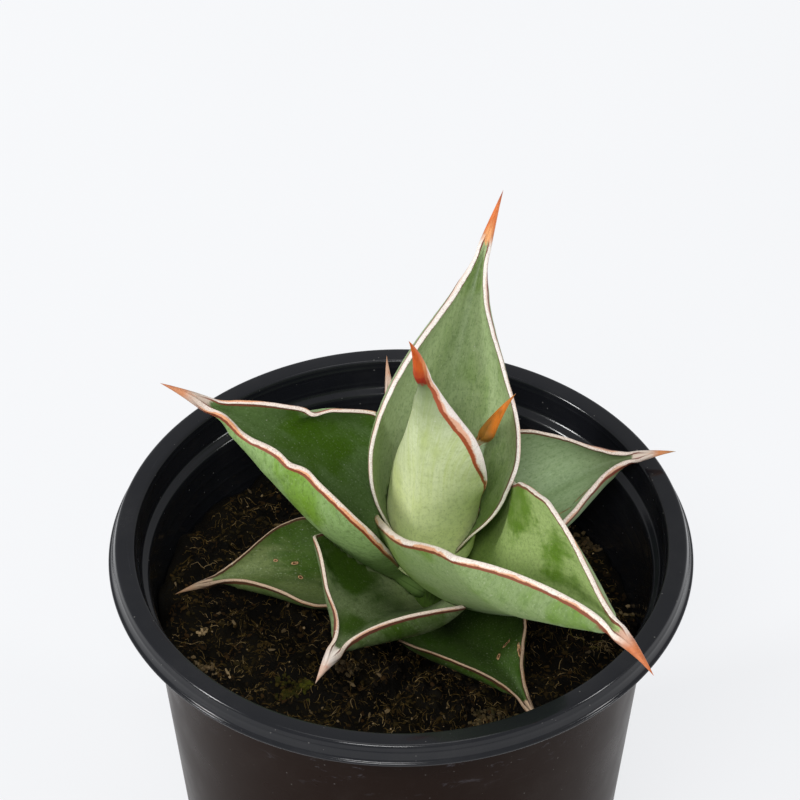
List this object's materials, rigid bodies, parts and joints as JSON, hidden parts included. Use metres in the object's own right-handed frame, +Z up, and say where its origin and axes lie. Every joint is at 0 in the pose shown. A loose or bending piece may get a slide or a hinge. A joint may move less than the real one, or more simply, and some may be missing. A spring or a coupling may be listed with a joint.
{
  "type": "potted walking sansevieria",
  "caption": "Young walking sansevieria: stiff, channelled, spine-tipped leaves with pale papery edges, spiralling from a short stem in a black plastic nursery pot of soil.",
  "frame": {"origin": "centre of the pot's flat underside, on the surface that the pot stands on", "axes": "+Z up along the pot's axis; -Y is the side that the picture shows, with +X to its right"},
  "size_m": [0.1558, 0.1664, 0.2187],
  "materials": {
    "pot": "satin",
    "soil": "matte",
    "stem": "matte",
    "young_leaf": "satin",
    "leaf": "satin",
    "old_leaf": "satin"
  },
  "bodies": {
    "root": {"nursery_pot": "pot", "potting_soil": "soil", "crown_stem": "stem", "leaf_01": "young_leaf", "leaf_02": "young_leaf", "leaf_03": "leaf", "leaf_04": "leaf", "leaf_05": "leaf", "leaf_06": "leaf", "leaf_07": "leaf", "leaf_08": "old_leaf", "leaf_09": "old_leaf", "leaf_10": "old_leaf"}
  },
  "joints": []
}
